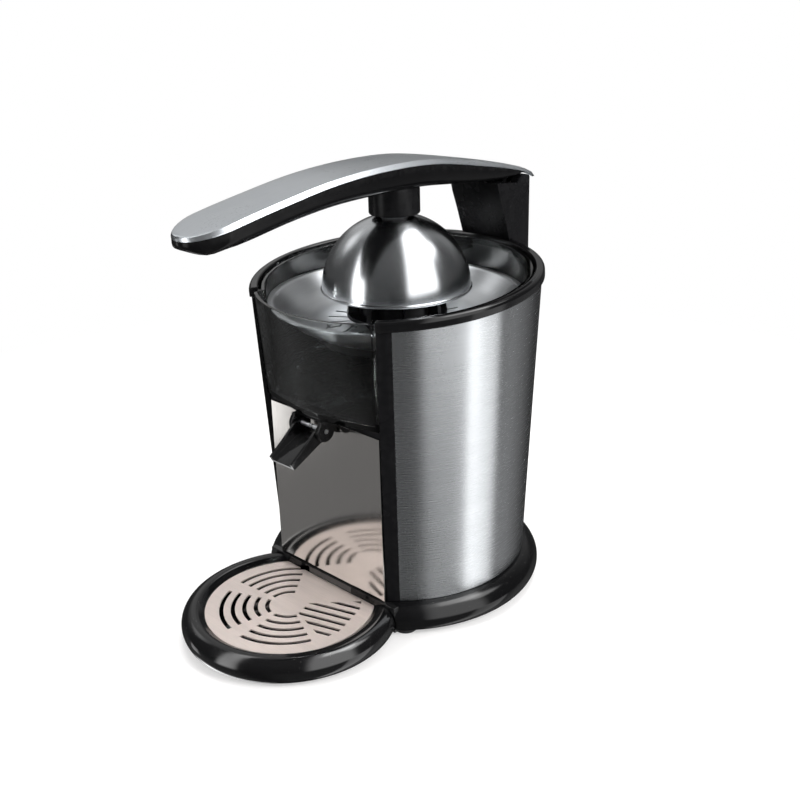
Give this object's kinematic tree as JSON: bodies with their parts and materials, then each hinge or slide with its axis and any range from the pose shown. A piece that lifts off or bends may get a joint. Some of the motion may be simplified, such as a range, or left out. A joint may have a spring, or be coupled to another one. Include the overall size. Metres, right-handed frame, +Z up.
{
  "type": "lever citrus juice press",
  "caption": "Countertop citrus press with a long hinged lever, steel press dome, motor-driven reamer, clear juice bowl with drip-stop spout, and a round drip tray.",
  "frame": {"origin": "centre of the footprint box on the table", "axes": "+Z up, -Y towards the user and the drip tray, +X to the machine's right"},
  "size_m": [0.18, 0.2796, 0.2734],
  "materials": {
    "brushed_steel": "fine vertical and circular brushing",
    "polished_steel": "near-mirror polish",
    "satin_metal": "satin, grey",
    "black_gloss": "moulded gloss",
    "black_satin": "fine moulded texture",
    "clear_plastic": "clear moulded plastic",
    "rubber_black": "matt",
    "grey_plastic": "moulded",
    "gear_nylon": "natural nylon",
    "zinc_steel": "zinc plated",
    "motor_steel": "zinc grey",
    "brass": "turned",
    "spring_steel": "drawn wire"
  },
  "bodies": {
    "housing": {"base_shell": "black_gloss", "base_plate": "black_satin", "base_screws": "zinc_steel", "rubber_feet": "rubber_black", "chassis": "black_satin", "deck": "black_satin", "steel_wrap": "brushed_steel", "strip_right": "black_satin", "strip_left": "black_satin", "front_panel": "polished_steel", "top_ring": "black_gloss", "rear_column": "black_satin", "column_cover": "black_satin", "column_screws": "zinc_steel", "cord_gland": "rubber_black", "juice_bowl": "clear_plastic", "bowl_seal": "rubber_black", "strainer_dish": "brushed_steel", "strainer_plate": "brushed_steel", "strainer_ring": "black_satin", "spout_body": "black_satin", "spout_pin": "zinc_steel", "gear_plate": "zinc_steel", "gearbox_cover": "grey_plastic", "gearbox_screws": "zinc_steel", "motor": "motor_steel", "idler_pin": "zinc_steel", "lower_bush": "brass", "upper_bush": "brass", "switch_body": "grey_plastic", "hinge_pin": "zinc_steel"},
    "wheel": {"output_gear": "gear_nylon", "shaft_spring": "spring_steel"},
    "reamer": {"drive_shaft": "zinc_steel", "reamer_cone": "black_satin"},
    "idler": {"idler_gear": "gear_nylon"},
    "pinion": {"motor_pinion": "zinc_steel"},
    "switch": {"switch_plunger": "grey_plastic"},
    "drip_stop": {"spout_flap": "black_gloss"},
    "lever": {"lever_cover": "satin_metal", "lever_shell": "black_gloss", "lever_screws": "zinc_steel", "lever_bush": "brass", "neck_collar": "black_satin", "dome_pin": "zinc_steel"},
    "dome": {"press_dome": "brushed_steel", "dome_liner": "grey_plastic", "liner_ribs": "grey_plastic"},
    "tray": {"drip_tray": "black_gloss", "tray_pads": "rubber_black"},
    "grid": {"drip_grid": "brushed_steel"}
  },
  "joints": [
    {"name": "wheel_spin", "type": "hinge", "parent": "housing", "child": "wheel", "pos_m": [0, 0.02775, 0.1085], "axis": [0, 0, 1], "continuous": true},
    {"name": "reamer_press", "type": "slide", "parent": "wheel", "child": "reamer", "axis": [0, 0, -1], "range_m": [0, 0.0025], "stiffness_N_per_m": 2400, "springref_m": -0.003, "deforming": ["shaft_spring"]},
    {"name": "idler_spin", "type": "hinge", "parent": "housing", "child": "idler", "pos_m": [0.02057, 0.04675, 0.104], "axis": [0, 0, 1], "continuous": true},
    {"name": "pinion_spin", "type": "hinge", "parent": "housing", "child": "pinion", "pos_m": [0, 0.06575, 0.1], "axis": [0, 0, 1], "continuous": true},
    {"name": "switch_press", "type": "slide", "parent": "housing", "child": "switch", "axis": [0, 0, -1], "range_m": [0, 0.0025]},
    {"name": "drip_stop_tip", "type": "hinge", "parent": "housing", "child": "drip_stop", "pos_m": [0, -0.04725, 0.1255], "axis": [-1, 0, 0], "range_deg": [0, 45]},
    {"name": "lever_hinge", "type": "hinge", "parent": "housing", "child": "lever", "pos_m": [0, 0.12775, 0.2405], "axis": [-1, 0, 0], "range_deg": [0, 70]},
    {"name": "dome_swivel", "type": "hinge", "parent": "lever", "child": "dome", "pos_m": [0, 0.02775, 0.247], "axis": [1, 0, 0], "range_deg": [-4, 4]},
    {"name": "tray_slide", "type": "slide", "parent": "housing", "child": "tray", "axis": [0, -1, 0], "range_m": [0, 0.08]},
    {"name": "grid_lift", "type": "slide", "parent": "tray", "child": "grid", "axis": [0, 0, 1], "range_m": [0, 0.04]}
  ],
  "couplings": [
    {"joint": "idler_spin", "follows": "wheel_spin", "ratio": -3},
    {"joint": "pinion_spin", "follows": "wheel_spin", "ratio": 9},
    {"joint": "switch_press", "follows": "reamer_press", "ratio": 1}
  ]
}
